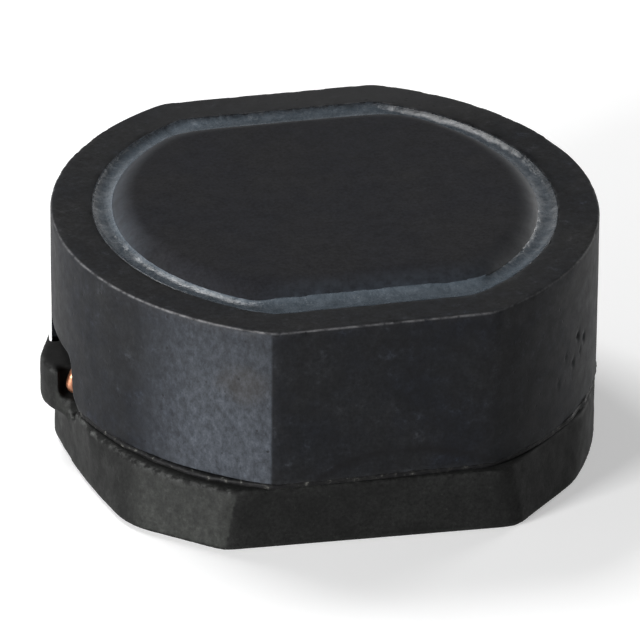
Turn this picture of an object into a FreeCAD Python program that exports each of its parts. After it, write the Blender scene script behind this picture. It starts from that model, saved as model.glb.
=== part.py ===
import FreeCAD, Part
import math
import os
import Sketcher
from FreeCAD import Vector

# Shielded power inductor for surface mounting, in millimetres.
# Frame: origin on the board plane under the middle of the base, +X along the
# line through the two terminals, +Z up. The ring and the drum core sit on the
# moulded base turned by coreTurn, as they were glued.

os.makedirs("parts", exist_ok=True)
doc = FreeCAD.newDocument("smd_inductor")

# Driving dimensions: alias, value, what it is.
DRIVING = [
    ("ringLength", 12.5, "shield ring over its rounded ends"),
    ("ringWidth", 12.04, "shield ring over its two flats"),
    ("endBulge", 3.75, "ring's rounded ends beyond the ends of its flats"),
    ("ringWall", 0.97, "wall of the shield ring"),
    ("ringHeight", 3.87, "height of the shield ring"),
    ("ringEdge", 0.06, "chamfer of the ring's edges"),
    ("ringRound", 0.15, "upright rounding beside the ring's flats"),
    ("notchHeight", 1.22, "lead notch above the ring's foot"),
    ("notchCrown", 2.2, "lead notch width at its crown"),
    ("notchWaist", 2.54, "lead notch width just above its foot"),
    ("notchFoot", 3.2, "lead notch width at the ring's foot"),
    ("notchFlare", 0.28, "height of the flare at the notch's foot"),
    ("notchRound", 0.22, "rounding of the notch's crown corners"),
    ("coreTurn", 2.4, "turn of ring and core on the base, degrees"),
    ("endGap", 0.44, "potted gap at the drum's rounded ends"),
    ("sideGap", 0.72, "potted gap at the drum's flats"),
    ("crownProud", 0.25, "drum crown above the ring's top"),
    ("crownSlope", 0.47, "width of the drum crown's sloped edge"),
    ("topFlange", 0.85, "drum's upper flange below the ring's top"),
    ("footFlange", 0.8, "drum's lower flange"),
    ("wireDiameter", 0.25, "enamelled copper wire"),
    ("coilInset", 0.35, "wound coil inside the flanges' flats"),
    ("coilDepth", 1.58, "depth of the wound coil round the drum's post"),
    ("coilRoom", 0.04, "room between coil and flanges"),
    ("turnGroove", 0.07, "depth of the grooves between turns"),
    ("leadSide", 0.62, "lead to one side of the notch's middle"),
    ("leadLift", 0.04, "lead above the lower flange"),
    ("shoulderInset", 0.5, "lead's upper bend inside the ring's end"),
    ("bulgeInset", 0.11, "lead's lower bend inside the ring's end"),
    ("leadBend", 0.23, "reach of a square bend of the lead along its two runs"),
    ("leadClear", 0.02, "lead above the base's rim on its way in"),
    ("wellInset", 0.4, "lead's well inside the terminals' outer edges"),
    ("leadCut", 0.02, "lead's clipped end above the board"),
    ("wellRoom", 0.09, "room round the lead in its well"),
    ("pottingDepth", 0.7, "depth of the potting round the crown"),
    ("meniscusDip", 0.06, "dip of the potting between its two edges"),
    ("meniscusEdge", 0.09, "width of the potting's climbing edges"),
    ("bondLine", 0.05, "glue between the base and what stands on it"),
    ("bondInset", 0.12, "glue layer inside the outline it bonds"),
    ("baseHeight", 1.52, "thickness of the moulded base"),
    ("flatLedge", 0.03, "base's flats beyond the ring's"),
    ("leftLedge", 0.02, "blunt edge of the base's left end beyond the ring's end"),
    ("leftEdge", 0.12, "that edge to one side of the middle"),
    ("leftArc", 20.0, "radius of the left end, from that edge to the front"),
    ("rightInset", 0.05, "base's right end inside the ring's end"),
    ("leftRun", 0.9, "base's flats past the ring's, to the left"),
    ("rightRun", 0.85, "base's flats past the ring's, to the right"),
    ("leftFacetX", 0.95, "left corner facets' far ends, in from the left end"),
    ("leftFacetY", 1.52, "left corner facets' far ends, in from the flats"),
    ("rightFacetX", 1.25, "right corner facets' far ends, in from the right end"),
    ("rightFacetY", 1.71, "right corner facets' far ends, in from the flats"),
    ("facetDraft", 6.5, "draft of the corner facets, degrees"),
    ("endRound", 1.8, "upright rounding where facet and end meet"),
    ("flatRound", 0.7, "upright rounding where facet and flat meet"),
    ("baseEdge", 0.06, "chamfer of the base's rim"),
    ("lugReach", 0.29, "left lug's tip beyond the ring's end"),
    ("lugTip", 0.26, "left lug's tip to one side"),
    ("lugSpread", 1.15, "left lug's tail to the same side"),
    ("lugTail", 0.03, "thickness of the lug's tail"),
    ("lugNear", 1.0, "left lug's nose beside the lead, to the other side"),
    ("lugSlit", 0.03, "inner face of the lug's nose beyond the ring's end"),
    ("lugNose", 1.2, "radius from the lug's tip to its nose"),
    ("lugHeel", 1.12, "lug's foot to the same side as its nose"),
    ("heelInset", 0.15, "end of the lug's foot inside the base's end"),
    ("rootInset", 0.37, "how far in the lug is rooted in the base"),
    ("lugDrop", 0.42, "left lug's underside below the base's rim"),
    ("lugRise", 0.68, "lugs above the base's rim"),
    ("lugRoom", 0.04, "room between the lugs and the ring"),
    ("gateWidth", 0.46, "notch in the base's rim beside the left lug's foot"),
    ("gateInset", 0.5, "that notch's inner face inside the base's end"),
    ("gateDepth", 0.3, "depth of that notch"),
    ("keyWidth", 1.3, "part of a lug that keys into the ring's notch"),
    ("keyInset", 0.14, "key's inner face from the ring's bore"),
    ("standOff", 0.05, "base's underside above the board"),
    ("stripThickness", 0.15, "terminal strip"),
    ("stripWidth", 4.6, "terminal across the base"),
    ("stripReach", 1.9, "terminal strip along the base"),
    ("stripMargin", 0.6, "terminal's outer edge inside the base's right end"),
    ("stripRoom", 0.03, "room round a terminal in its recess"),
    ("solderReach", 0.36, "radius of a solder joint"),
    ("solderRise", 0.3, "solder above the terminal, round the lead"),
    ("solderRoom", 0.02, "room round the solder in the base"),
]

# Sizes that follow from the driving ones.
DERIVED = [
    ("ringRadius", "(ringWidth ^ 2 / 4 + endBulge ^ 2) / (2 * endBulge)"),
    ("boreLength", "ringLength - 2 * ringWall"),
    ("boreWidth", "ringWidth - 2 * ringWall"),
    ("boreRadius", "ringRadius - ringWall"),
    ("drumLength", "boreLength - 2 * endGap"),
    ("drumWidth", "boreWidth - 2 * sideGap"),
    ("drumRadius", "boreRadius - endGap"),
    ("crownLength", "drumLength - 2 * crownSlope"),
    ("crownWidth", "drumWidth - 2 * crownSlope"),
    ("crownRadius", "drumRadius - crownSlope"),
    ("dipOuterLength", "boreLength - 2 * meniscusEdge"),
    ("dipOuterWidth", "boreWidth - 2 * meniscusEdge"),
    ("dipOuterRadius", "boreRadius - meniscusEdge"),
    ("dipInnerLength", "drumLength + 2 * meniscusEdge"),
    ("dipInnerWidth", "drumWidth + 2 * meniscusEdge"),
    ("dipInnerRadius", "drumRadius + meniscusEdge"),
    ("bondOuterLength", "ringLength - 2 * bondInset"),
    ("bondOuterWidth", "ringWidth - 2 * bondInset"),
    ("bondOuterRadius", "ringRadius - bondInset"),
    ("bondInnerLength", "boreLength + 2 * bondInset"),
    ("bondInnerWidth", "boreWidth + 2 * bondInset"),
    ("bondInnerRadius", "boreRadius + bondInset"),
    ("dabLength", "drumLength - 2 * bondInset"),
    ("dabWidth", "drumWidth - 2 * bondInset"),
    ("dabRadius", "drumRadius - bondInset"),
    ("rimLevel", "standOff + baseHeight"),
    ("footLevel", "rimLevel + bondLine"),
    ("ringTop", "footLevel + ringHeight"),
    ("crownTop", "ringTop + crownProud"),
    ("notchTop", "footLevel + notchHeight"),
    ("flareTop", "footLevel + notchFlare"),
    ("windowFoot", "footLevel + footFlange"),
    ("windowTop", "ringTop - topFlange"),
    ("pottingFoot", "ringTop - pottingDepth"),
    ("coilDiameter", "drumWidth - 2 * coilInset"),
    ("postDiameter", "coilDiameter - 2 * coilDepth"),
    ("leadShoulder", "ringLength / 2 - shoulderInset"),
    ("leadBulge", "ringLength / 2 - bulgeInset"),
    ("leadLevel", "windowFoot + leadLift + wireDiameter / 2"),
    ("leadReturn", "rimLevel + leadClear + wireDiameter / 2"),
    ("baseWidth", "ringWidth + 2 * flatLedge"),
    ("leftEnd", "ringLength / 2 + leftLedge"),
    ("rightEnd", "ringLength / 2 - rightInset"),
    ("leftFlat", "ringLength / 2 - endBulge + leftRun"),
    ("rightFlat", "ringLength / 2 - endBulge + rightRun"),
    ("leftCornerX", "leftEnd - leftFacetX"),
    ("leftCornerY", "baseWidth / 2 - leftFacetY"),
    ("rightCornerX", "rightEnd - rightFacetX"),
    ("rightCornerY", "baseWidth / 2 - rightFacetY"),
    ("stripOuter", "rightEnd - stripMargin"),
    ("stripInner", "stripOuter - stripReach"),
    ("leadWell", "stripOuter - wellInset"),
    ("wellX", "leadWell * cos(coreTurn * 1 deg) - leadSide * sin(coreTurn * 1 deg)"),
    ("wellY", "leadWell * sin(coreTurn * 1 deg) + leadSide * cos(coreTurn * 1 deg)"),
    ("wellRadius", "wireDiameter / 2 + wellRoom"),
    ("lugOuter", "ringLength / 2 + lugReach"),
    ("lugInner", "ringLength / 2 + lugSlit"),
    ("heelEnd", "leftEnd - heelInset"),
    ("lugRoot", "leftEnd - rootInset"),
    ("keyInner", "boreLength / 2 + keyInset"),
    ("lugTop", "rimLevel + lugRise"),
    ("lugFoot", "rimLevel - lugDrop"),
    ("gateInner", "leftEnd - gateInset"),
    ("gateFront", "lugHeel + gateWidth"),
    ("clearEnd", "ringLength / 2 + lugRoom"),
    ("keyFace", "clearEnd - ringRadius + sqrt(ringRadius ^ 2 - keyWidth ^ 2 / 4)"),
    ("tailFace", "clearEnd - ringRadius + sqrt(ringRadius ^ 2 - lugSpread ^ 2)"),
    ("tailOuter", "tailFace + lugTail"),
    ("rightSag", "rightEnd - rightCornerX"),
    ("rightArc", "(rightCornerY ^ 2 + rightSag ^ 2) / (2 * rightSag)"),
    ("recessDepth", "stripThickness - standOff"),
    ("recessInner", "stripInner - stripRoom"),
    ("recessOuter", "stripOuter + stripRoom"),
    ("recessWidth", "stripWidth + 2 * stripRoom"),
    ("solderWell", "solderReach + solderRoom"),
    ("solderTop", "stripThickness + solderRise"),
    ("solderPocket", "stripThickness + solderRise + solderRoom - standOff"),
]


# Each outline with two flats and two rounded ends: its corner's distance from the middle.
DOUBLE_D = ["ring", "bore", "drum", "crown", "dipOuter", "dipInner", "bondOuter", "bondInner", "dab"]
CORNER = "{0}Length / 2 - {0}Radius + sqrt({0}Radius ^ 2 - {0}Width ^ 2 / 4)"


def fillSheet(sheet):
    rows = [(alias, str(value), note) for alias, value, note in DRIVING]
    rows += [(alias, "=" + formula, "follows") for alias, formula in DERIVED]
    rows += [(name + "Corner", "=" + CORNER.format(name), "follows") for name in DOUBLE_D]
    for row, (alias, content, note) in enumerate(rows, start=1):
        sheet.set(f"A{row}", alias)
        sheet.set(f"B{row}", content)
        sheet.set(f"C{row}", note)
        sheet.setAlias(f"B{row}", alias)


sheet = doc.addObject("Spreadsheet::Sheet", "Sheet")
fillSheet(sheet)
doc.recompute()


def size(alias):
    return float(sheet.get(alias))


def newBody(label, placement=None):
    body = doc.addObject("PartDesign::Body", label)
    body.Label = label
    body.AllowCompound = True
    if placement:
        body.setExpression("Placement", placement)
    return body


def newSketch(body, name, role="XY_Plane", level=None):
    sketch = body.newObject("Sketcher::SketchObject", name)
    plane = next(item for item in body.Origin.OriginFeatures if item.Role == role)
    sketch.AttachmentSupport = (plane, [""])
    sketch.MapMode = "FlatFace"
    if level:
        sketch.setExpression("AttachmentOffset.Base.z", "Sheet." + level)
    return sketch


def bind(sketch, constraint, name, expression):
    sketch.renameConstraint(sketch.addConstraint(constraint), name)
    sketch.setExpression("Constraints." + name, expression)


def pinPoint(sketch, geometry, point, corner):
    # A corner's two coordinates are each (factor, alias); a factor of 0 is on the axis.
    for kind, axis, (factor, alias) in zip(("DistanceX", "DistanceY"), (-2, -1), corner):
        if factor == 0:
            sketch.addConstraint(Sketcher.Constraint("PointOnObject", geometry, point, axis))
            continue
        ends = (-1, 1, geometry, point) if factor > 0 else (geometry, point, -1, 1)
        distance = abs(factor) * size(alias)
        name = f"{kind}{geometry}"
        bind(sketch, Sketcher.Constraint(kind, *ends, distance), name, f"{abs(factor)} * Sheet.{alias}")


def outline(sketch, corners, arcs=None):
    # Corners run anticlockwise; arcs gives the radius of each edge that bulges out.
    arcs = arcs or {}
    places = [Vector(fx * size(ax), fy * size(ay), 0) for (fx, ax), (fy, ay) in corners]
    indices = []
    for number, start in enumerate(places):
        end = places[(number + 1) % len(places)]
        if number in arcs:
            radius = size(arcs[number])
            chord = end - start
            outward = Vector(chord.y, -chord.x, 0).normalize()
            rise = radius - math.sqrt(radius ** 2 - (chord.Length / 2) ** 2)
            middle = (start + end) / 2 + outward * rise
            indices.append(sketch.addGeometry(Part.Arc(start, middle, end)))
        else:
            indices.append(sketch.addGeometry(Part.LineSegment(start, end)))
    for number, geometry in enumerate(indices):
        following = indices[(number + 1) % len(indices)]
        sketch.addConstraint(Sketcher.Constraint("Coincident", geometry, 2, following, 1))
        pinPoint(sketch, geometry, 1, corners[number])
        if number in arcs:
            radius = Sketcher.Constraint("Radius", geometry, size(arcs[number]))
            bind(sketch, radius, f"Radius{geometry}", "Sheet." + arcs[number])


def doubleD(sketch, name):
    # Two flats and two rounded ends: name gives its width, end radius and corner.
    half = (0.5, name + "Width")
    corner = name + "Corner"
    down = (-half[0], half[1])
    corners = [((-1, corner), down), ((1, corner), down), ((1, corner), half), ((-1, corner), half)]
    outline(sketch, corners, {1: name + "Radius", 3: name + "Radius"})


def rectangle(sketch, left, right, front, back):
    outline(sketch, [(left, front), (right, front), (right, back), (left, back)])


def circle(sketch, radius, centre=((0, ""), (0, ""))):
    (fx, ax), (fy, ay) = centre
    place = Vector(fx * size(ax) if fx else 0, fy * size(ay) if fy else 0, 0)
    geometry = sketch.addGeometry(Part.Circle(place, Vector(0, 0, 1), radius[0] * size(radius[1])))
    pinPoint(sketch, geometry, 3, centre)
    limit = Sketcher.Constraint("Radius", geometry, radius[0] * size(radius[1]))
    bind(sketch, limit, f"Round{geometry}", f"{radius[0]} * Sheet.{radius[1]}")


def pad(body, sketch, name, length):
    feature = body.newObject("PartDesign::Pad", name)
    feature.Profile = sketch
    feature.setExpression("Length", length)
    return feature


def pocket(body, sketch, name, length=None, upwards=False):
    feature = body.newObject("PartDesign::Pocket", name)
    feature.Profile = sketch
    feature.Reversed = upwards
    if length:
        feature.setExpression("Length", length)
    else:
        feature.Type = "ThroughAll"
    return feature


def chosen(parts, kind, wanted):
    # wanted picks an edge or face by its bounding box, as each is known by its place.
    return [f"{kind}{i}" for i, part in enumerate(parts, 1) if wanted(part.BoundBox)]


def fillet(body, base, name, alias, wanted):
    doc.recompute()
    feature = body.newObject("PartDesign::Fillet", name)
    feature.Base = (base, chosen(base.Shape.Edges, "Edge", wanted))
    feature.setExpression("Radius", "Sheet." + alias)
    return feature


def chamfer(body, base, name, alias, wanted):
    doc.recompute()
    feature = body.newObject("PartDesign::Chamfer", name)
    feature.Base = (base, chosen(base.Shape.Edges, "Edge", wanted))
    feature.setExpression("Size", "Sheet." + alias)
    return feature


def draft(body, base, name, alias, wanted):
    # The faces lean in as they rise from the board plane.
    doc.recompute()
    feature = body.newObject("PartDesign::Draft", name)
    feature.Base = (base, chosen(base.Shape.Faces, "Face", wanted))
    board = next(item for item in body.Origin.OriginFeatures if item.Role == "XY_Plane")
    feature.NeutralPlane = (board, [""])
    feature.setExpression("Angle", "Sheet." + alias)
    return feature


def near(value, alias, factor=1):
    return abs(value - factor * size(alias)) < 1e-4


def flatAt(box, alias):
    return near(box.ZMin, alias) and near(box.ZMax, alias)


def upright(box, foot, top):
    return box.XLength + box.YLength < 1e-4 and near(box.ZMin, foot) and near(box.ZMax, top)


def rising(box):
    return near(box.ZMin, "standOff") and near(box.ZMax, "rimLevel")


def between(value, first, second):
    low, high = sorted((size(first), size(second)))
    return low - 1e-4 < value < high + 1e-4


def onFacet(box):
    # A corner facet spans from the end of a flat to the end of the facet.
    spans = {-1: ("leftFlat", "leftCornerX", "leftCornerY"), 1: ("rightFlat", "rightCornerX", "rightCornerY")}
    flat, along, across = spans[1 if box.Center.x > 0 else -1]
    return between(abs(box.Center.x), flat, along) and abs(box.Center.y) > size(across)


def leaning(box):
    # The edge between a drafted facet and an end; a flat's own edges lean along it only.
    return rising(box) and box.YLength > 1e-3


TURNED = "placement(vector(0; 0; 0); rotation(vector(0; 0; 1); Sheet.coreTurn))"


def makeRing():
    body = newBody("shield_ring", TURNED)
    outer = newSketch(body, "RingOutline", level="footLevel")
    doubleD(outer, "ring")
    ring = pad(body, outer, "RingPad", "Sheet.ringHeight")
    ring = fillet(body, ring, "RingCorners", "ringRound", lambda box: upright(box, "footLevel", "ringTop"))
    chamfer(body, ring, "RingEdges", "ringEdge", lambda box:
            flatAt(box, "ringTop") or flatAt(box, "footLevel"))
    bore = newSketch(body, "BoreOutline", level="ringTop")
    doubleD(bore, "bore")
    pocket(body, bore, "Bore")
    notch = newSketch(body, "NotchOutline", "YZ_Plane")
    foot, waist, crown = (0.5, "notchFoot"), (0.5, "notchWaist"), (0.5, "notchCrown")
    left = [((-0.5, side[1]), (1, level)) for side, level in
            ((crown, "notchTop"), (waist, "flareTop"), (foot, "footLevel"), (foot, "rimLevel"))]
    right = [(side, (1, level)) for side, level in
             ((foot, "rimLevel"), (foot, "footLevel"), (waist, "flareTop"), (crown, "notchTop"))]
    outline(notch, left + right)
    cut = pocket(body, notch, "Notches")
    cut.SideType = "Symmetric"
    fillet(body, cut, "NotchCrowns", "notchRound", lambda box: flatAt(box, "notchTop") and
           box.YLength < 1e-4 and near(abs(box.YMin), "notchCrown", 0.5))
    return body


def makeDrum():
    body = newBody("drum_core", TURNED)
    foot = newSketch(body, "FootFlange", level="footLevel")
    doubleD(foot, "drum")
    pad(body, foot, "FootFlangePad", "Sheet.footFlange")
    post = newSketch(body, "Post", level="windowFoot")
    circle(post, (0.5, "postDiameter"))
    pad(body, post, "PostPad", "Sheet.windowTop - Sheet.windowFoot")
    top = newSketch(body, "TopFlange", level="windowTop")
    doubleD(top, "drum")
    pad(body, top, "TopFlangePad", "Sheet.topFlange")
    slopeFoot = newSketch(body, "CrownFoot", level="ringTop")
    doubleD(slopeFoot, "drum")
    slopeTop = newSketch(body, "CrownTop", level="crownTop")
    doubleD(slopeTop, "crown")
    crown = body.newObject("PartDesign::AdditiveLoft", "Crown")
    crown.Profile = slopeFoot
    crown.Sections = [slopeTop]
    crown.Ruled = True
    return body


def makePotting():
    body = newBody("top_potting", TURNED)
    band = newSketch(body, "PottedGap", level="pottingFoot")
    doubleD(band, "bore")
    doubleD(band, "drum")
    pad(body, band, "PottingPad", "Sheet.pottingDepth")
    dip = newSketch(body, "Meniscus", level="ringTop")
    doubleD(dip, "dipOuter")
    doubleD(dip, "dipInner")
    pocket(body, dip, "MeniscusDip", "Sheet.meniscusDip").TaperAngle = 45
    return body


def makeBonds():
    ringBond = newBody("ring_bond", TURNED)
    layer = newSketch(ringBond, "RingLayer", level="rimLevel")
    doubleD(layer, "bondOuter")
    doubleD(layer, "bondInner")
    pad(ringBond, layer, "RingLayerPad", "Sheet.bondLine")
    gaps = newSketch(ringBond, "NotchGaps", level="footLevel")
    rectangle(gaps, (-0.5, "ringLength"), (0.5, "ringLength"), (-0.5, "notchFoot"), (0.5, "notchFoot"))
    pocket(ringBond, gaps, "NotchGapCut", "Sheet.bondLine")
    coreBond = newBody("core_bond", TURNED)
    dab = newSketch(coreBond, "CoreLayer", level="rimLevel")
    doubleD(dab, "dab")
    pad(coreBond, dab, "CoreLayerPad", "Sheet.bondLine")
    return [ringBond, coreBond]


def makeBase():
    body = newBody("moulded_base")
    plan = newSketch(body, "BaseOutline", level="standOff")
    front, back = (-0.5, "baseWidth"), (0.5, "baseWidth")
    leftX, rightX = (-1, "leftCornerX"), (1, "rightCornerX")
    outline(plan, [
        ((-1, "leftFlat"), front), ((1, "rightFlat"), front),
        (rightX, (-1, "rightCornerY")), (rightX, (1, "rightCornerY")),
        ((1, "rightFlat"), back), ((-1, "leftFlat"), back),
        (leftX, (1, "leftCornerY")), ((-1, "leftEnd"), (1, "leftEdge")), (leftX, (-1, "leftCornerY")),
    ], {2: "rightArc", 7: "leftArc"})
    base = pad(body, plan, "BasePad", "Sheet.baseHeight")
    base = draft(body, base, "FacetDraft", "facetDraft", onFacet)
    base = fillet(body, base, "FlatCorners", "flatRound", lambda box: rising(box) and
                  near(max(abs(box.YMin), abs(box.YMax)), "baseWidth", 0.5))
    base = fillet(body, base, "EndCorners", "endRound", leaning)
    chamfer(body, base, "BaseEdges", "baseEdge", lambda box:
            flatAt(box, "standOff") or flatAt(box, "rimLevel"))
    gate = newSketch(body, "RimNotch", level="rimLevel")
    rectangle(gate, (-1, "leftEnd"), (-1, "gateInner"), (-1, "gateFront"), (-1, "lugHeel"))
    pocket(body, gate, "RimNotchCut", "Sheet.gateDepth")
    addLugs(body)
    addUnderside(body)
    return body


def addLugs(body):
    # The left lug stands round the lead's way out; the right one is only the key.
    tip = ((-1, "lugOuter"), (1, "lugTip"))
    nose = ((-1, "lugInner"), (-1, "lugNear"))
    tail = ((-1, "tailOuter"), (1, "lugSpread"))
    root = newSketch(body, "LugRoot", level="lugFoot")
    outline(root, [((-1, "lugRoot"), (1, "lugSpread")), tail, tip, nose, ((-1, "heelEnd"), (-1, "lugHeel")),
                   ((-1, "lugRoot"), (-1, "lugHeel"))], {2: "lugNose"})
    pad(body, root, "LugRootPad", "Sheet.lugDrop")
    lug = newSketch(body, "LeftLug", level="rimLevel")
    keyBack, keyFront = (0.5, "keyWidth"), (-0.5, "keyWidth")
    outline(lug, [
        ((-1, "keyInner"), keyBack), ((-1, "keyFace"), keyBack), ((-1, "tailFace"), (1, "lugSpread")),
        tail, tip, nose, ((-1, "lugInner"), keyFront), ((-1, "keyInner"), keyFront),
    ], {4: "lugNose"})
    pad(body, lug, "LeftLugPad", "Sheet.lugRise")
    key = newSketch(body, "RightLug", level="rimLevel")
    rectangle(key, (1, "keyInner"), (1, "rightEnd"), keyFront, keyBack)
    pad(body, key, "RightLugPad", "Sheet.lugRise")


def addUnderside(body):
    recess = newSketch(body, "TerminalRecesses", level="standOff")
    inner, outer = "recessInner", "recessOuter"
    front, back = (-0.5, "recessWidth"), (0.5, "recessWidth")
    rectangle(recess, (-1, outer), (-1, inner), front, back)
    rectangle(recess, (1, inner), (1, outer), front, back)
    pocket(body, recess, "RecessCut", "Sheet.recessDepth", upwards=True)
    wells = newSketch(body, "SolderWells", level="standOff")
    circle(wells, (1, "solderWell"), ((1, "wellX"), (1, "wellY")))
    circle(wells, (1, "solderWell"), ((-1, "wellX"), (-1, "wellY")))
    pocket(body, wells, "SolderWellCut", "Sheet.solderPocket", upwards=True)
    leads = newSketch(body, "LeadWells", level="rimLevel")
    circle(leads, (1, "wellRadius"), ((1, "wellX"), (1, "wellY")))
    circle(leads, (1, "wellRadius"), ((-1, "wellX"), (-1, "wellY")))
    pocket(body, leads, "LeadWellCut")


def makeTerminal(label, turn):
    body = newBody(label)
    strip = newSketch(body, "Strip")
    rectangle(strip, (1, "stripInner"), (1, "stripOuter"), (-0.5, "stripWidth"), (0.5, "stripWidth"))
    pad(body, strip, "StripPad", "Sheet.stripThickness")
    hole = newSketch(body, "SolderHole", level="stripThickness")
    circle(hole, (1, "solderReach"), ((1, "wellX"), (1, "wellY")))
    pocket(body, hole, "SolderHoleCut")
    body.Placement = FreeCAD.Placement(Vector(), FreeCAD.Rotation(Vector(0, 0, 1), turn))
    return body


def makeSolder(label, side):
    place = f"placement(vector({side} * Sheet.wellX; {side} * Sheet.wellY; 0); rotation(vector(0; 0; 1); 0))"
    body = newBody(label, place)
    section = newSketch(body, "SolderSection", "XZ_Plane")
    bore = (0.5, "wireDiameter")
    outline(section, [
        (bore, (1, "leadCut")), ((1, "solderReach"), (1, "leadCut")),
        ((1, "solderReach"), (1, "stripThickness")), (bore, (1, "solderTop")),
    ])
    joint = body.newObject("PartDesign::Revolution", "SolderRevolution")
    joint.Profile = section
    joint.ReferenceAxis = (section, ["V_Axis"])
    joint.Angle = 360
    return body


def softPath(points, reach):
    # A wire of straight runs with a soft bend at each inner corner; reach is a square bend's.
    edges = []
    start = points[0]
    for corner, following in zip(points[1:-1], points[2:]):
        arriving = (corner - start).normalize()
        leaving = (following - corner).normalize()
        setback = reach * math.tan(arriving.getAngle(leaving) / 2)
        entry = corner - arriving * setback
        departure = corner + leaving * setback
        bend = Part.BezierCurve()
        bend.setPoles([entry, corner, departure])
        edges += [Part.LineSegment(start, entry).toShape(), bend.toShape()]
        start = departure
    edges.append(Part.LineSegment(start, points[-1]).toShape())
    return Part.Wire(edges)


def coilShape():
    # All layers as one ring of wound wire; grooves part the outer layer's turns.
    inner, outer = size("postDiameter") / 2, size("coilDiameter") / 2
    foot = size("windowFoot") + size("coilRoom")
    top = size("windowTop") - size("coilRoom")
    turns = max(1, math.floor((top - foot) / size("wireDiameter")))
    pitch = (top - foot) / turns
    groove = size("turnGroove")
    section = [Vector(inner, 0, foot)]
    for turn in range(turns):
        low = foot + turn * pitch
        section.append(Vector(outer - groove, 0, low))
        section.append(Vector(outer, 0, low + pitch / 2))
    section.append(Vector(outer - groove, 0, top))
    section.append(Vector(inner, 0, top))
    face = Part.Face(Part.makePolygon(section + section[:1]))
    return face.revolve(Vector(0, 0, 0), Vector(0, 0, 1), 360)


def leadShape():
    # Out through the notch, down, back in over the base's rim and down the well.
    side, level = -size("leadSide"), size("leadLevel")
    start = -(size("coilDiameter") / 2 - size("turnGroove") - size("wireDiameter"))
    well, back = -size("leadWell"), size("leadReturn")
    path = softPath([
        Vector(start, side, level), Vector(-size("leadShoulder"), side, level),
        Vector(-size("leadBulge"), side, back), Vector(well, side, back),
        Vector(well, side, size("leadCut")),
    ], size("leadBend"))
    ring = Part.Circle(Vector(start, side, level), Vector(-1, 0, 0), size("wireDiameter") / 2)
    return path.makePipeShell([Part.Wire(ring.toShape())], True, True)


def makeWinding():
    lead = leadShape()
    other = lead.copy()
    other.rotate(Vector(0, 0, 0), Vector(0, 0, 1), 180)
    winding = doc.addObject("Part::Feature", "winding")
    winding.Label = "winding"
    winding.Shape = coilShape().fuse([lead, other]).removeSplitter()
    winding.setExpression("Placement", TURNED)
    return winding


pieces = [makeRing(), makeDrum(), makeWinding(), makePotting(), makeBase()]
pieces += makeBonds()
pieces += [makeTerminal("terminal_right", 0), makeTerminal("terminal_left", 180)]
pieces += [makeSolder("solder_right", 1), makeSolder("solder_left", -1)]
doc.recompute()

failed = [item.Label for item in doc.Objects if {"Invalid", "Error"} & set(item.State)]
failed += [item.Label for item in pieces if item.Shape.isNull() or not item.Shape.isValid()]
if failed:
    raise RuntimeError("not built: " + ", ".join(failed))
for piece in pieces:
    piece.Shape.exportStep(f"parts/{piece.Label}.step")
    print(piece.Label, "solids", len(piece.Shape.Solids), "volume", round(piece.Shape.Volume, 3))
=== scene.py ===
import math

import bmesh
import bpy
from mathutils import Matrix, Vector, noise


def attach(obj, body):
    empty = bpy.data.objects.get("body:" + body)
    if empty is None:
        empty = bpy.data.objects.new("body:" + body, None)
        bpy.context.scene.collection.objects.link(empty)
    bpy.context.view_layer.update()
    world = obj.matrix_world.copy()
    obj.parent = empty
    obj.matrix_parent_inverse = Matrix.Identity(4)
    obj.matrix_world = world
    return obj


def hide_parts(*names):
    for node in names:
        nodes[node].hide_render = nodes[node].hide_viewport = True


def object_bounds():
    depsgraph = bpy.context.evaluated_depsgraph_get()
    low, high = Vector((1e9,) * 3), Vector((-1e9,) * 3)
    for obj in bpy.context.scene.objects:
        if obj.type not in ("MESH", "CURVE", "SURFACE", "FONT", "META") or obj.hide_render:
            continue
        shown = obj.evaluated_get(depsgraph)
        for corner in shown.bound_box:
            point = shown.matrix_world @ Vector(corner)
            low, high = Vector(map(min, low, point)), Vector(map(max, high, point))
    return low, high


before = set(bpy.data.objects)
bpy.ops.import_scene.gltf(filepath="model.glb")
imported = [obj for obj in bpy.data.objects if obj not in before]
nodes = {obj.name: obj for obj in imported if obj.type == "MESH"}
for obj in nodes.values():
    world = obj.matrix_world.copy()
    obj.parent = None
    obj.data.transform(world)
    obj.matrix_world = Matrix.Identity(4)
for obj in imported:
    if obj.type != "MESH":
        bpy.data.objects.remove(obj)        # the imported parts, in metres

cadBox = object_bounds()
scene = bpy.context.scene
mm = 0.001
print("frame loaded with", len(nodes), "parts")


# Camera

shot = {
    "azimuth": -10.66,              # degrees, seen from a little to the left
    "elevation": 27.25,
    "roll": -0.44,
    "place": (-30.36, -160.79, 86.81),   # mm
    "lens": 451.2,                  # mm
    "sensor": 36,                   # mm
    "nearest": 0.01,                # m, nothing closer is shown
}


def setCamera():
    turn = math.radians(shot["azimuth"])
    tip = math.radians(shot["elevation"])
    roll = math.radians(shot["roll"])
    ahead = Vector((-math.sin(turn) * math.cos(tip), math.cos(turn) * math.cos(tip), -math.sin(tip)))
    side = Vector((math.cos(turn), math.sin(turn), 0))
    down = ahead.cross(side)
    right = math.cos(roll) * side + math.sin(roll) * down
    up = math.sin(roll) * side - math.cos(roll) * down
    camera = bpy.data.objects.new("camera", bpy.data.cameras.new("camera"))
    camera.data.sensor_width = shot["sensor"]
    camera.data.lens = shot["lens"]
    camera.data.clip_start = shot["nearest"]
    facing = Matrix((right, up, -ahead)).transposed().to_4x4()
    camera.matrix_world = Matrix.Translation(Vector(shot["place"]) * mm) @ facing
    scene.collection.objects.link(camera)
    scene.camera = camera


setCamera()


# Node helpers

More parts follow.
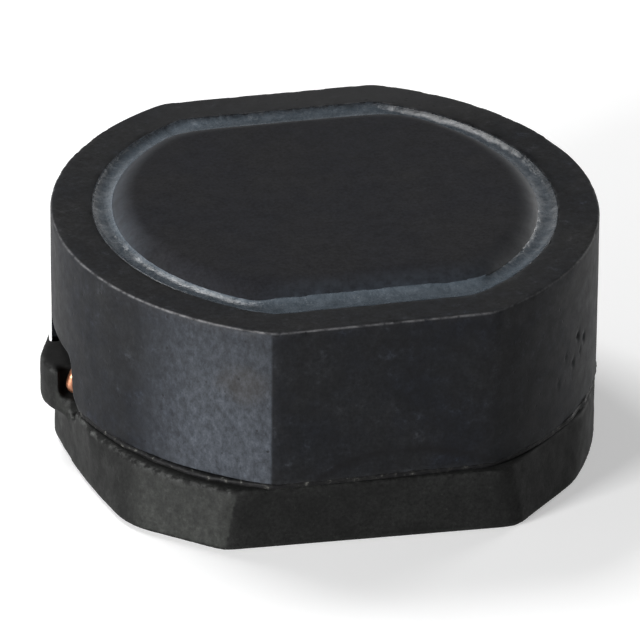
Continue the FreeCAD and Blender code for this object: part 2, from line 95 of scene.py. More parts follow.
def reckon(tree, how, *values):
    # a maths node fed with outputs or plain numbers
    node = tree.nodes.new("ShaderNodeMath")
    node.operation = how
    for socket, value in zip(node.inputs, values):
        if isinstance(value, (int, float)):
            socket.default_value = value
        else:
            tree.links.new(value, socket)
    return node.outputs[0]


def times(tree, first, factor):
    return reckon(tree, "MULTIPLY", first, factor)


def ramp(tree, fac, stops):
    # stops: place on the ramp, then a colour or a shade of grey
    node = tree.nodes.new("ShaderNodeValToRGB")
    cells = node.color_ramp.elements
    while len(cells) < len(stops):
        cells.new(0.5)
    for cell, (where, colour) in zip(cells, stops):
        cell.position = where
        cell.color = (colour if isinstance(colour, tuple) else (colour,) * 3) + (1,)
    tree.links.new(fac, node.inputs["Fac"])
    return node.outputs["Color"]


def blend(tree, fac, first, second, how="MIX"):
    node = tree.nodes.new("ShaderNodeMix")
    node.data_type = "RGBA"
    node.blend_type = how
    for name, value in (("Factor", fac), ("A", first), ("B", second)):
        socket = node.inputs[name]
        if isinstance(value, (int, float)) and socket.type == "VALUE":
            socket.default_value = value
        elif isinstance(value, (int, float)):
            socket.default_value = (value, value, value, 1)
        elif isinstance(value, tuple):
            socket.default_value = value + (1,)
        else:
            tree.links.new(value, socket)
    return node.outputs["Result"]


def onObject(tree, location, scale=(1, 1, 1), kind="POINT"):
    # the object's own coordinates, moved and scaled
    own = tree.nodes.new("ShaderNodeTexCoord")
    mapping = tree.nodes.new("ShaderNodeMapping")
    mapping.vector_type = kind
    mapping.inputs["Location"].default_value = location
    mapping.inputs["Scale"].default_value = scale
    tree.links.new(own.outputs["Object"], mapping.inputs["Vector"])
    return mapping.outputs[0]


def grain(tree, size, detail, roughness, stretch=(1, 1, 1), slide=0):
    # noise with lumps of about size mm
    texture = tree.nodes.new("ShaderNodeTexNoise")
    texture.inputs["Scale"].default_value = 1 / (size * mm)
    texture.inputs["Detail"].default_value = detail
    texture.inputs["Roughness"].default_value = roughness
    tree.links.new(onObject(tree, (slide * mm, slide * mm, 0), stretch), texture.inputs["Vector"])
    return texture.outputs["Fac"]


def mottled(tree, stops, **shape):
    # a grain run through a ramp
    return ramp(tree, grain(tree, **shape), stops)


def pores(tree, size, width, slide):
    # 1 at scattered pinholes about width of a cell wide, 0 elsewhere
    cells = tree.nodes.new("ShaderNodeTexVoronoi")
    cells.inputs["Scale"].default_value = 1 / (size * mm)
    tree.links.new(onObject(tree, (slide * mm, 0, slide * mm)), cells.inputs["Vector"])
    return ramp(tree, cells.outputs["Distance"], [(width * 0.5, 1.0), (width, 0.0)])


def patch(tree, centre, radius, soft=0.5, wobble=0.35):
    # 1 inside an uneven blot round a point of the object, in mm; radius may differ along x, y and z
    fitted = onObject(tree, [c * mm for c in centre], [r * mm for r in radius], "TEXTURE")
    length = tree.nodes.new("ShaderNodeVectorMath")
    length.operation = "LENGTH"
    tree.links.new(fitted, length.inputs[0])
    ragged = reckon(tree, "MULTIPLY_ADD", grain(tree, 0.6, 4, 0.6), wobble * 2, -wobble)
    total = reckon(tree, "ADD", length.outputs["Value"], ragged)
    return ramp(tree, total, [(1 - soft, 1.0), (1.0, 0.0)])


def painted(tree, name):
    # the piece's own attribute, 0 where it has none
    node = tree.nodes.new("ShaderNodeAttribute")
    node.attribute_name = name
    return node.outputs["Fac"]


def cover(tree, under, where, colour, by):
    # lays a colour on where the piece's attribute says, weakened by a mottle or a plain factor
    amount = mottled(tree, **by) if isinstance(by, dict) else by
    return blend(tree, times(tree, painted(tree, where), amount), under, colour)


def blot(tree, under, colour, amount, **shape):
    # lays a colour on inside an uneven patch
    return blend(tree, times(tree, patch(tree, **shape), amount), under, colour)


def relief(tree, strength, depth, **shape):
    return grain(tree, **shape), strength, depth


def newFinish(name, sockets):
    # a material, its node tree and its shader, with the plain sockets set
    material = bpy.data.materials.new(name)
    material.use_nodes = True
    tree = material.node_tree
    shader = tree.nodes["Principled BSDF"]
    for socket, value in sockets.items():
        shader.inputs[socket].default_value = value
    return material, tree, shader


def plugIn(tree, shader, colour, rough, heights):
    # heights: one bump node after another, each with its strength and its depth in mm
    tree.links.new(colour, shader.inputs["Base Color"])
    tree.links.new(rough, shader.inputs["Roughness"])
    normal = None
    for height, strength, depth in heights:
        node = tree.nodes.new("ShaderNodeBump")
        node.inputs["Strength"].default_value = strength
        node.inputs["Distance"].default_value = depth * mm
        tree.links.new(height, node.inputs["Height"])
        if normal:
            tree.links.new(normal, node.inputs["Normal"])
        normal = node.outputs["Normal"]
    tree.links.new(normal, shader.inputs["Normal"])


# Studio: soft lamps, pale floor, white behind

lamps = {
    # name: direction to the lamp, distance mm, size mm, watts
    "topBox": ((-0.30, 0.48, 0.82), 140, 50, 0.105),
    "leftBox": ((-0.80, -0.58, 0.15), 140, 38, 0.36),
    "backRight": ((0.82, 0.54, 0.18), 140, 50, 0.08),
    "backLeft": ((-0.72, 0.62, 0.30), 140, 60, 0.015),
}
studio = {
    "aim": (0, 0, 3),               # mm
    "floorSize": 400,               # mm
    "floorColour": 0.85,
    "floorRoughness": 0.9,
    "floorGlow": 0.38,              # what the camera and reflections get on top of the lit floor
    "worldLight": 0.07,
    "backdropTop": 0.22,            # rise of the white backdrop's top edge
    "backdropFade": 0.15,
    "ceiling": 0.10,                # dark studio above it, in reflections
}
plainWhite = (1, 1, 1, 1)


def setLamps():
    aim = Vector(studio["aim"]) * mm
    for name, (way, distance, size, watts) in lamps.items():
        lamp = bpy.data.lights.new(name, "AREA")
        lamp.shape = "SQUARE"
        lamp.size = size * mm
        lamp.energy = watts
        holder = bpy.data.objects.new(name, lamp)
        toLamp = Vector(way).normalized()
        facing = toLamp.to_track_quat("Z", "Y").to_matrix().to_4x4()
        holder.matrix_world = Matrix.Translation(aim + toLamp * distance * mm) @ facing
        scene.collection.objects.link(holder)


def rayOf(tree, kinds, factor=1.0):
    # factor where a ray of one of these kinds looks, 0 elsewhere
    path = tree.nodes.new("ShaderNodeLightPath")
    seen = path.outputs[kinds[0]]
    for other in kinds[1:]:
        seen = reckon(tree, "MAXIMUM", seen, path.outputs[other])
    return times(tree, seen, factor)


def setWorld():
    world = bpy.data.worlds.new("studio")
    scene.world = world
    world.use_nodes = True
    tree = world.node_tree
    soft = tree.nodes["Background"]
    soft.inputs["Color"].default_value = plainWhite
    soft.inputs["Strength"].default_value = studio["worldLight"]
    white = tree.nodes.new("ShaderNodeBackground")
    white.inputs["Color"].default_value = plainWhite
    backdrop = tree.nodes.new("ShaderNodeBackground")
    way = tree.nodes.new("ShaderNodeTexCoord")
    rise = tree.nodes.new("ShaderNodeSeparateXYZ")
    tree.links.new(way.outputs["Generated"], rise.inputs[0])
    edge, fade = studio["backdropTop"], studio["backdropFade"]
    shade = ramp(tree, rise.outputs["Z"], [(edge, 1.0), (edge + fade, studio["ceiling"])])
    tree.links.new(shade, backdrop.inputs["Color"])
    views = [
        (["Is Glossy Ray"], backdrop),
        (["Is Camera Ray", "Is Transmission Ray"], white),
    ]
    result = soft
    for kinds, shown in views:
        mix = tree.nodes.new("ShaderNodeMixShader")
        tree.links.new(rayOf(tree, kinds), mix.inputs["Fac"])
        tree.links.new(result.outputs[0], mix.inputs[1])
        tree.links.new(shown.outputs[0], mix.inputs[2])
        result = mix
    tree.links.new(result.outputs[0], tree.nodes["World Output"].inputs["Surface"])


def setFloor():
    # lifted to white where the camera sees it lit, so that only the shadow stays on it
    bm = bmesh.new()
    bmesh.ops.create_grid(bm, x_segments=1, y_segments=1, size=studio["floorSize"] / 2 * mm)
    floor = bpy.data.objects.new("floor", bpy.data.meshes.new("floor"))
    bm.to_mesh(floor.data)
    bm.free()
    scene.collection.objects.link(floor)
    material, tree, shader = newFinish("paleFloor", {
        "Base Color": (studio["floorColour"],) * 3 + (1,),
        "Roughness": studio["floorRoughness"],
        "Emission Color": plainWhite,
    })
    glow = rayOf(tree, ["Is Camera Ray", "Is Glossy Ray", "Is Transmission Ray"], studio["floorGlow"])
    tree.links.new(glow, shader.inputs["Emission Strength"])
    floor.data.materials.append(material)


setLamps()
setWorld()
setFloor()
scene.view_settings.view_transform = "Standard"
print("studio set")


# Finishes: a layer's size is its grain's in mm, and its stops are the ramp that the grain runs through

ringFinish = {
    "wall": {
        "shine": 0.15,
        "dark": (0.0015, 0.002, 0.003),
        "light": (0.0085, 0.0095, 0.0115),
        "roughness": (0.58, 0.74),
    },
    "top": {                        # ground flat
        "shine": 0.2,
        "dark": (0.0024, 0.0027, 0.0033),
        "light": (0.0160, 0.0170, 0.0190),
        "roughness": (0.85, 0.98),
    },
    "sheen": 0.02,
    "speckle": dict(size=0.085, detail=6, roughness=0.78),
    "speckleEnds": (0.36, 0.64),
    "gloss": dict(size=0.4, detail=5, roughness=0.65, slide=3),
    "glossEnds": (0.3, 0.7),
    "tint": dict(size=1.5, detail=4, roughness=0.6, slide=7,
                 stops=[(0.36, (0.70, 0.78, 0.95)), (0.64, (1.25, 1.20, 1.12))]),
    "mottle": dict(size=0.34, detail=6, roughness=0.72, slide=13,
                   stops=[(0.44, 0.55), (0.60, 1.0), (0.68, 2.4)]),
    "highlightPaint": {                      # painted highlight, mottled, where the wall's left round faces the left lamp
        "where": "paintedHighlight",
        "colour": (0.052, 0.059, 0.071),
        "by": dict(size=0.15, detail=6, roughness=0.78, stretch=(1, 1, 0.7), slide=17,
                   stops=[(0.34, 0.20), (0.52, 0.55), (0.68, 1.0)]),
    },
    "paleLayer": {                       # a paler patch along the back of the top
        "colour": (0.030, 0.030, 0.031),
        "amount": 0.6,
        "centre": (1.5, 5.6, 5.5),
        "radius": (6.0, 3.6, 0.6),
        "soft": 0.8,
    },
    "stain": {                      # brownish blot on the wall's left front corner
        "colour": (0.030, 0.024, 0.017),
        "amount": 0.28,
        "centre": (-2.8, -5.6, 4.1),
        "radius": (0.8, 0.8, 0.55),
    },
    "wearAndHighlight": {                       # edge rubbed bright, with a painted highlight strongest where it faces the left lamp
        "where": "wearAndHighlight",
        "colour": (0.15, 0.15, 0.155),
        "by": dict(size=0.22, detail=4, roughness=0.7, slide=2, stops=[(0.38, 0.15), (0.60, 1.0)]),
    },
    "smear": {                      # dark edge of a resin smear above the seam
        "where": "smear",
        "colour": (0.001, 0.001, 0.0015),
        "by": 0.85,
    },
    "pores": dict(size=0.32, width=0.13, slide=5),
    "poreColour": (0.004, 0.004, 0.005),
    "poreAmount": 0.7,
    "poreRelief": (0.3, 0.015),     # strength, depth mm
    "relief": [
        dict(size=0.055, detail=3, roughness=0.6, strength=0.30, depth=0.006),
        dict(size=0.30, detail=4, roughness=0.6, slide=1, strength=0.30, depth=0.014),
    ],
}


def pressedFerrite(name, side):
    look = ringFinish
    sockets = {"Specular IOR Level": side["shine"], "Sheen Weight": look["sheen"]}
    material, tree, shader = newFinish(name, sockets)
    shades = list(zip(look["speckleEnds"], (side["dark"], side["light"])))
    colour = mottled(tree, shades, **look["speckle"])
    for layer in ("tint", "mottle"):
        colour = blend(tree, 1.0, colour, mottled(tree, **look[layer]), "MULTIPLY")
    # painted highlight on the wall's left round, where it faces the left lamp
    colour = cover(tree, colour, **look["highlightPaint"])
    for layer in ("paleLayer", "stain"):
        colour = blot(tree, colour, **look[layer])
    # rubbed edges with their painted highlight, then the smear's dark edge
    for layer in ("wearAndHighlight", "smear"):
        colour = cover(tree, colour, **look[layer])
    holes = pores(tree, **look["pores"])
    colour = blend(tree, times(tree, holes, look["poreAmount"]), colour, look["poreColour"])
    rough = mottled(tree, list(zip(look["glossEnds"], side["roughness"])), **look["gloss"])
    heights = [relief(tree, **layer) for layer in look["relief"]]
    heights.append((ramp(tree, holes, [(0.0, 1.0), (1.0, 0.0)]), *look["poreRelief"]))
    plugIn(tree, shader, colour, rough, heights)
    return material


drumFinish = {
    "sockets": {"Specular IOR Level": 0.25},
    "speckle": dict(size=0.08, detail=6, roughness=0.78,
                    stops=[(0.36, (0.0025, 0.0027, 0.0036)), (0.64, (0.0120, 0.0126, 0.0155))]),
    "tint": dict(size=1.8, detail=4, roughness=0.6, slide=7,
                 stops=[(0.38, (0.85, 0.88, 1.0)), (0.62, (1.08, 1.04, 1.0))]),
    "film": {                       # resin that has crept up the sloped edge
        "where": "film",
        "colour": (0.030, 0.036, 0.045),
        "by": dict(size=0.22, detail=6, roughness=0.72, slide=9,
                   stops=[(0.38, 0.30), (0.52, 0.8), (0.66, 1.3)]),
    },
    "gloss": dict(size=0.4, detail=5, roughness=0.65, slide=3, stops=[(0.3, 0.85), (0.7, 0.98)]),
    "filmGloss": {"where": "film", "colour": 0.30, "by": 0.9},
    "relief": [
        dict(size=0.05, detail=3, roughness=0.6, strength=0.30, depth=0.005),
        dict(size=0.3, detail=4, roughness=0.6, slide=1, strength=0.30, depth=0.012),
    ],
}


def drumFerrite():
    look = drumFinish
    material, tree, shader = newFinish("drumFerrite", look["sockets"])
    colour = mottled(tree, **look["speckle"])
    colour = blend(tree, 1.0, colour, mottled(tree, **look["tint"]), "MULTIPLY")
    colour = cover(tree, colour, **look["film"])
    rough = cover(tree, mottled(tree, **look["gloss"]), **look["filmGloss"])
    plugIn(tree, shader, colour, rough, [relief(tree, **layer) for layer in look["relief"]])
    return material


baseFinish = {
    "sockets": {"Specular IOR Level": 0.11, "Sheen Weight": 0.02},
    "speckle": dict(size=0.085, detail=6, roughness=0.78,
                    stops=[(0.34, (0.0018, 0.0019, 0.0018)), (0.66, (0.0105, 0.0110, 0.0105))]),
    "cloud": dict(size=0.8, detail=5, roughness=0.65, slide=4, stops=[(0.40, 0.75), (0.66, 1.45)]),
    "highlightPaint": {                      # painted highlight, mottled, on the left round, as on the ring
        "where": "paintedHighlight",
        "colour": (0.034, 0.036, 0.033),
        "by": dict(size=0.18, detail=6, roughness=0.78, slide=17,
                   stops=[(0.36, 0.15), (0.54, 0.5), (0.68, 1.0)]),
    },
    "paleLayer": dict(size=0.16, detail=5, roughness=0.75, slide=11, stops=[(0.60, 0.0), (0.74, 1.0)]),
    "dustColour": (0.045, 0.047, 0.043),
    "dustAmount": 0.45,
    "wearAndHighlight": {                       # edge rubbed bright, with a painted highlight strongest where it faces the left lamp
        "where": "wearAndHighlight",
        "colour": (0.075, 0.077, 0.075),
        "by": dict(size=0.25, detail=4, roughness=0.7, slide=2, stops=[(0.45, 0.0), (0.62, 1.0)]),
    },
    # painted shade on the lugs' tops, under the ring's notch
    "paintedShade": {"where": "paintedShade", "colour": (0.003, 0.003, 0.003), "by": 0.8},
    "gloss": dict(size=0.4, detail=4, roughness=0.6, stops=[(0.3, 0.58), (0.7, 0.76)]),
    "relief": [
        dict(size=0.07, detail=3, roughness=0.6, strength=0.35, depth=0.008),
        dict(size=0.35, detail=4, roughness=0.6, strength=0.40, depth=0.020),
    ],
}


def mouldedPlastic():
    look = baseFinish
    material, tree, shader = newFinish("mouldedPlastic", look["sockets"])
    colour = mottled(tree, **look["speckle"])
    colour = blend(tree, 1.0, colour, mottled(tree, **look["cloud"]), "MULTIPLY")
    # painted highlight on the base's left round, where it faces the left lamp
    colour = cover(tree, colour, **look["highlightPaint"])
    dusty = times(tree, mottled(tree, **look["paleLayer"]), look["dustAmount"])
    colour = blend(tree, dusty, colour, look["dustColour"])
    # rubbed edges with their painted highlight, then painted shade on the lugs' tops
    for layer in ("wearAndHighlight", "paintedShade"):
        colour = cover(tree, colour, **look[layer])
    rough = mottled(tree, **look["gloss"])
    plugIn(tree, shader, colour, rough, [relief(tree, **layer) for layer in look["relief"]])
    return material


resinFinish = {
    "sockets": {"Specular IOR Level": 0.4},
    "cloud": dict(size=0.30, detail=5, roughness=0.6,
                  stops=[(0.3, (0.050, 0.065, 0.080)), (0.7, (0.105, 0.127, 0.150))]),
    "darkerEdge": {                       # darker along its edge against the ring
        "where": "darkerEdge",
        "colour": (0.012, 0.013, 0.016),
        "by": dict(size=0.14, detail=5, roughness=0.7, slide=3, stops=[(0.35, 0.5), (0.60, 1.0)]),
    },
    "gloss": dict(size=0.12, detail=5, roughness=0.7, stops=[(0.3, 0.14), (0.7, 0.40)]),
    "relief": [
        dict(size=0.06, detail=4, roughness=0.65, strength=0.70, depth=0.011),
        dict(size=0.5, detail=3, roughness=0.5, slide=6, strength=0.4, depth=0.03),
    ],
}


def pottingResin():
    look = resinFinish
    material, tree, shader = newFinish("pottingResin", look["sockets"])
    colour = cover(tree, mottled(tree, **look["cloud"]), **look["darkerEdge"])
    rough = mottled(tree, **look["gloss"])
    plugIn(tree, shader, colour, rough, [relief(tree, **layer) for layer in look["relief"]])
    return material


glueFinish = {
    "sockets": {"Specular IOR Level": 0.15},
    "colour": dict(size=0.12, detail=4, roughness=0.6, stops=[
        (0.46, (0.003, 0.003, 0.0035)), (0.62, (0.010, 0.010, 0.0095)), (0.74, (0.085, 0.085, 0.078)),
    ]),
    "gloss": dict(size=0.2, detail=3, roughness=0.6, stops=[(0.3, 0.5), (0.7, 0.75)]),
    "relief": [dict(size=0.12, detail=3, roughness=0.6, strength=0.5, depth=0.02)],
}
copperFinish = {
    "sockets": {"Metallic": 0.85, "Coat Weight": 0.6, "Coat Roughness": 0.15},
    "colour": dict(size=0.15, detail=3, roughness=0.6,
                   stops=[(0.3, (0.20, 0.08, 0.04)), (0.7, (0.46, 0.20, 0.11))]),
    "gloss": dict(size=0.1, detail=3, roughness=0.6, stops=[(0.3, 0.25), (0.7, 0.45)]),
    "relief": [dict(size=0.08, detail=2, roughness=0.5, strength=0.2, depth=0.004)],
}
stripFinish = {                     # drawn lines run along the strip
    "sockets": {"Metallic": 1.0},
    "colour": dict(size=0.5, detail=4, roughness=0.6, stretch=(6, 0.5, 6),
                   stops=[(0.3, (0.50, 0.50, 0.49)), (0.7, (0.66, 0.66, 0.64))]),
    "gloss": dict(size=0.3, detail=4, roughness=0.6, stops=[(0.3, 0.28), (0.7, 0.46)]),
    "relief": [dict(size=0.5, detail=4, roughness=0.6, stretch=(6, 0.5, 6), strength=0.25, depth=0.006)],
}
solderFinish = {
    "sockets": {"Metallic": 1.0},
    "colour": dict(size=0.2, detail=3, roughness=0.6,
                   stops=[(0.3, (0.60, 0.60, 0.61)), (0.7, (0.74, 0.74, 0.75))]),
    "gloss": dict(size=0.15, detail=3, roughness=0.6, stops=[(0.3, 0.15), (0.7, 0.32)]),
    "relief": [dict(size=0.2, detail=2, roughness=0.5, strength=0.3, depth=0.01)],
}


def evenFinish(name, look):
    # one mottled colour all over, for glue and metal
    material, tree, shader = newFinish(name, look["sockets"])
    colour = mottled(tree, **look["colour"])
    rough = mottled(tree, **look["gloss"])
    plugIn(tree, shader, colour, rough, [relief(tree, **layer) for layer in look["relief"]])
    return material


finishes = {
    "shield_ring": pressedFerrite("pressedFerrite", ringFinish["wall"]),
    "drum_core": drumFerrite(),
    "moulded_base": mouldedPlastic(),
    "top_potting": pottingResin(),
    "ring_bond": evenFinish("bondGlue", glueFinish),
    "winding": evenFinish("enamelledCopper", copperFinish),
    "terminal_left": evenFinish("tinnedStrip", stripFinish),
    "solder_left": evenFinish("brightSolder", solderFinish),
}
groundFerrite = pressedFerrite("groundFerrite", ringFinish["top"])
finishes["core_bond"] = finishes["ring_bond"]
finishes["terminal_right"] = finishes["terminal_left"]
finishes["solder_right"] = finishes["solder_left"]

for name, part in nodes.items():
    part.data.materials.clear()
    part.data.materials.append(finishes[name])
print("finishes on the parts")


# Outlines with two flats and two rounded ends, swept from one stop to the next

coreTurn = math.radians(2.4)        # ring and core stand turned on the base
arcBack = 0.457                     # mm, an end arc's centre beyond the middle


def reach(angle, halfLength, halfWidth, crisp):
    # mm from the middle to the outline; a larger crisp makes sharper upright corners
    across = abs(math.cos(angle))
    radius = halfLength + arcBack
    arc = -arcBack * across + math.sqrt((arcBack * across) ** 2 - arcBack ** 2 + radius ** 2)
    flat = halfWidth / max(abs(math.sin(angle)), 1e-6)
    low = min(arc, flat)
    return low * ((arc / low) ** -crisp + (flat / low) ** -crisp) ** (-1 / crisp)


def sendTo(verts, stop):
    # stop: end and flat of the outline, level, crisp
    halfLength, halfWidth, level, crisp = stop
    for vert in verts:
        angle = math.atan2(vert.co.y, vert.co.x)
        out = reach(angle, halfLength, halfWidth, crisp)
        vert.co = (out * math.cos(angle), out * math.sin(angle), level)


def growTo(bm, edges, stop):
    # pulls the open rim out to the next stop and gives the new rim
    grown = bmesh.ops.extrude_edge_only(bm, edges=edges)["geom"]
    verts = {item for item in grown if isinstance(item, bmesh.types.BMVert)}
    sendTo(verts, stop)
    return [item for item in grown if isinstance(item, bmesh.types.BMEdge) and set(item.verts) <= verts]


def sweep(stops, steps, closed):
    bm = bmesh.new()
    bmesh.ops.create_circle(bm, cap_ends=False, segments=steps, radius=1)
    sendTo(bm.verts, stops[0])
    first = edges = bm.edges[:]
    for stop in stops[1:]:
        edges = growTo(bm, edges, stop)
    if closed:
        growTo(bm, edges, stops[0])
        bmesh.ops.remove_doubles(bm, verts=bm.verts, dist=1e-5)
    else:
        for rim in (first, edges):
            bmesh.ops.contextual_create(bm, geom=rim)
    bmesh.ops.recalc_face_normals(bm, faces=bm.faces)
    bm.normal_update()
    return bm


def between(first, last, count):
    # count stops evenly from first to last, without the first
    return [tuple(a + (b - a) * n / count for a, b in zip(first, last)) for n in range(1, count + 1)]


def rounded(corner, radius, turnFrom, turnTo, count, crisp):
    # stops round an edge: corner gives end, flat and level of the arc's middle
    halfLength, halfWidth, level = corner
    stops = []
    for n in range(count + 1):
        angle = math.radians(turnFrom + (turnTo - turnFrom) * n / count)
        out, up = radius * math.cos(angle), radius * math.sin(angle)
        stops.append((halfLength + out, halfWidth + out, level + up, crisp))
    return stops


def inMetres(bm, turn):
    # a mesh worked out in mm and unturned goes to its place on the part
    bmesh.ops.transform(bm, matrix=Matrix.Scale(mm, 4) @ Matrix.Rotation(turn, 4, "Z"), verts=bm.verts)


def place(bm, name, node, material, turn=coreTurn):
    # the finished mesh rides on the part, in a CAD node's stead where one is named
    inMetres(bm, turn)
    mesh = bpy.data.meshes.new(name)
    bm.to_mesh(mesh)
    bm.free()
    for face in mesh.polygons:
        face.use_smooth = True
    piece = bpy.data.objects.new(name, mesh)
    scene.collection.objects.link(piece)
    piece.data.materials.append(material)
    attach(piece, "root")
    if node:
        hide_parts(node)
    return piece


# Unevenness and painted highlights that several pieces share

# where the painted highlight lies: walls whose normals face the left lamp
paintedHighlight = {
    "from": 18,                     # degrees round to the left of straight ahead
    "to": 58,
    "fade": 15,                     # degrees before the end
    "steepest": 0.3,                # rise of a face's normal, past which it is no wall
    "topLoss": 0.5,
}


def lumpy(spot, size, roughness, octaves=4):
    return noise.fractal(spot / size, roughness, 2.0, octaves)


def swell(spot, size):
    # 0 to 1, in slow swells
    return 0.5 + 0.5 * noise.noise(spot / size)


def degreesOf(spot):
    # round the part from +X
    return math.degrees(math.atan2(spot.y, spot.x)) % 360


def outward(spot, distance):
    # the way level out from the part's middle, distance long
    return Vector((spot.x, spot.y, 0)) * distance / math.hypot(spot.x, spot.y)


def along(table, where):
    # the value of a table of pairs at a place between its first and last
    for (first, low), (last, high) in zip(table, table[1:]):
        if first <= where < last:
            return low + (high - low) * (where - first) / (last - first)
    return 0


def markVerts(bm, name, rule):
    layer = bm.verts.layers.float.new(name)
    for vert in bm.verts:
        vert[layer] = rule(vert)


def edgeAt(out):
    # 1 where a rounded edge's normal stands at 45 degrees, 0 on level faces and walls
    return 2 * abs(out.z) * math.hypot(out.x, out.y)


def wearAndHighlightAt(vert, way, least):
    # edges are rubbed lighter, and a painted highlight is added most where they face this way
    out = vert.normal
    facing = max(0, Vector((out.x, out.y, 0)).normalized().dot((*way, 0)))
    return edgeAt(out) ** 2 * (least + (1 - least) * facing ** 3)


def paintedHighlightAt(vert, low, high):
    # painted highlight on the walls' left round, which faces the left lamp, fading out towards the back and
    # the top
    out = vert.normal
    degrees = math.degrees(math.atan2(-out.x, -out.y))
    if abs(out.z) > paintedHighlight["steepest"] or not paintedHighlight["from"] <= degrees <= paintedHighlight["to"]:
        return 0
    share = min(1, (paintedHighlight["to"] - degrees) / paintedHighlight["fade"])
    return share * (1 - paintedHighlight["topLoss"] * ((vert.co.z - low) / (high - low)) ** 2)


# Shield ring

ring = {
    "outer": (6.25, 6.02),          # mm, end and flat
    "bore": (5.28, 5.05),
    "foot": 1.62,
    "top": 5.49,
    "edge": 0.06,                   # rounding of its edges
    "crisp": 150,
    "steps": 720,
    "wallStops": 34,                # stops up the wall
    "boreStops": 8,                 # stops across the top, and down the bore
    "footStops": 4,
    "nick": 0.05,                   # deepest nick along an edge
    "nickSize": 0.45,
    "nickMost": 1.2,
    "dent": 0.012,                  # slow unevenness of the pressed wall
    "dentSize": 1.4,
    "ground": 0.95,                 # rise of a normal from which a face is ground flat
    "highlightWay": (-0.6, -0.8),        # edges that face this way, towards the left lamp, get the most painted highlight
    "wornLeast": 0.35,
}
notch = {
    # half width and level above the board, from the foot to the crown
    "side": [(1.60, 1.20), (1.60, 1.62), (1.27, 1.90), (1.10, 2.84)],
    "crownRound": 0.22,
    "end": 7,                       # the cutter reaches past both ends
}
pits = [
    # angle from +X in degrees, level, radius, depth, mm
    (-38.0, 3.55, 0.12, 0.08),
    (-34.5, 3.35, 0.10, 0.08),
    (-40.5, 3.00, 0.09, 0.06),
    (-36.5, 3.10, 0.06, 0.05),
    (-44.0, 3.30, 0.07, 0.04),
    (-47.0, 2.80, 0.09, 0.03),
]
smear = {
    "front": -5.5,                  # mm, only the front wall has it
    "width": 0.09,
    "edge": [
        # along X, and how far the smear's edge stands above the ring's foot, mm
        (-1.6, 0.02), (-1.04, 0.38), (-0.03, 0.67), (1.0, 0.60), (2.1, 0.34), (2.8, 0.04),
    ],
}


def ringStops():
    outEnd, outFlat = ring["outer"]
    inEnd, inFlat = ring["bore"]
    foot, top, edge, crisp = ring["foot"], ring["top"], ring["edge"], ring["crisp"]
    stops = rounded((outEnd - edge, outFlat - edge, foot + edge), edge, -90, 0, 3, crisp)
    upper = rounded((outEnd - edge, outFlat - edge, top - edge), edge, 0, 90, 4, crisp)
    stops += between(stops[-1], upper[0], ring["wallStops"]) + upper[1:]
    lip = rounded((inEnd + edge, inFlat + edge, top - edge), -edge, -90, 0, 3, crisp)
    stops += between(upper[-1], lip[0], ring["boreStops"]) + lip[1:]
    lower = rounded((inEnd + edge, inFlat + edge, foot + edge), -edge, 0, 90, 2, crisp)
    stops += between(lip[-1], lower[0], ring["boreStops"]) + lower[1:]
    return stops + between(lower[-1], stops[0], ring["footStops"])[:-1]


def smearAt(vert):
    spot = vert.co
    edge = along(smear["edge"], spot.x)
    if edge == 0 or spot.y > smear["front"]:
        return 0
    return math.exp(-((spot.z - ring["foot"] - edge) / smear["width"]) ** 2)


def roughRing(bm):
    bm.normal_update()
    moves = []
    for vert in bm.verts:
        spot, out = vert.co, vert.normal
        bite = min(ring["nickMost"], max(0, lumpy(spot, ring["nickSize"], 0.8)))
        deep = ring["nick"] * edgeAt(out) * bite
        deep += ring["dent"] * swell(spot, ring["dentSize"])
        for degrees, level, radius, depth in pits:
            aside = ring["outer"][0] * (math.atan2(spot.y, spot.x) - math.radians(degrees))
            away = Vector((aside, spot.z - level)).length
            if away < radius and out.x > 0.3:        # not on the bore behind it
                deep += depth * (1 - (away / radius) ** 2)
        moves.append((vert, out * -deep))
    for vert, move in moves:
        vert.co += move


def cutNotches(piece):
    # the lead notches through both ends, cut by one prism along X
    bm = bmesh.new()
    end = notch["end"]
    left = [bm.verts.new((-end, -half, level)) for half, level in notch["side"]]
    right = [bm.verts.new((-end, half, level)) for half, level in reversed(notch["side"])]
    bm.faces.new(left + right)
    bmesh.ops.bevel(bm, geom=[left[-1], right[0]], affect="VERTICES", offset=notch["crownRound"],
                    segments=5, profile=0.5, material=-1)
    pulled = bmesh.ops.extrude_face_region(bm, geom=bm.faces[:])["geom"]
    verts = [item for item in pulled if isinstance(item, bmesh.types.BMVert)]
    bmesh.ops.translate(bm, vec=(2 * end, 0, 0), verts=verts)
    bmesh.ops.recalc_face_normals(bm, faces=bm.faces)
    inMetres(bm, coreTurn)
    cutter = bpy.data.objects.new("notchCutter", bpy.data.meshes.new("notchCutter"))
    bm.to_mesh(cutter.data)
    bm.free()
    scene.collection.objects.link(cutter)
    cut = piece.modifiers.new("notches", "BOOLEAN")
    cut.operation = "DIFFERENCE"
    cut.solver = "EXACT"
    cut.object = cutter
    shape = bpy.data.meshes.new_from_object(piece.evaluated_get(bpy.context.evaluated_depsgraph_get()))
    piece.modifiers.clear()
    piece.data = shape
    bpy.data.objects.remove(cutter)


def makeRing():
    bm = sweep(ringStops(), ring["steps"], closed=True)
    markVerts(bm, "wearAndHighlight", lambda vert: wearAndHighlightAt(vert, ring["highlightWay"], ring["wornLeast"]))
    markVerts(bm, "paintedHighlight", lambda vert: paintedHighlightAt(vert, ring["foot"], ring["top"]))
    markVerts(bm, "smear", smearAt)
    for face in bm.faces:
        face.material_index = 1 if face.normal.z > ring["ground"] else 0
    roughRing(bm)
    piece = place(bm, "shieldRing", "shield_ring", finishes["shield_ring"])
    piece.data.materials.append(groundFerrite)
    cutNotches(piece)


makeRing()
print("ring made")


# Drum core: its crown is the soft-edged island in the potting

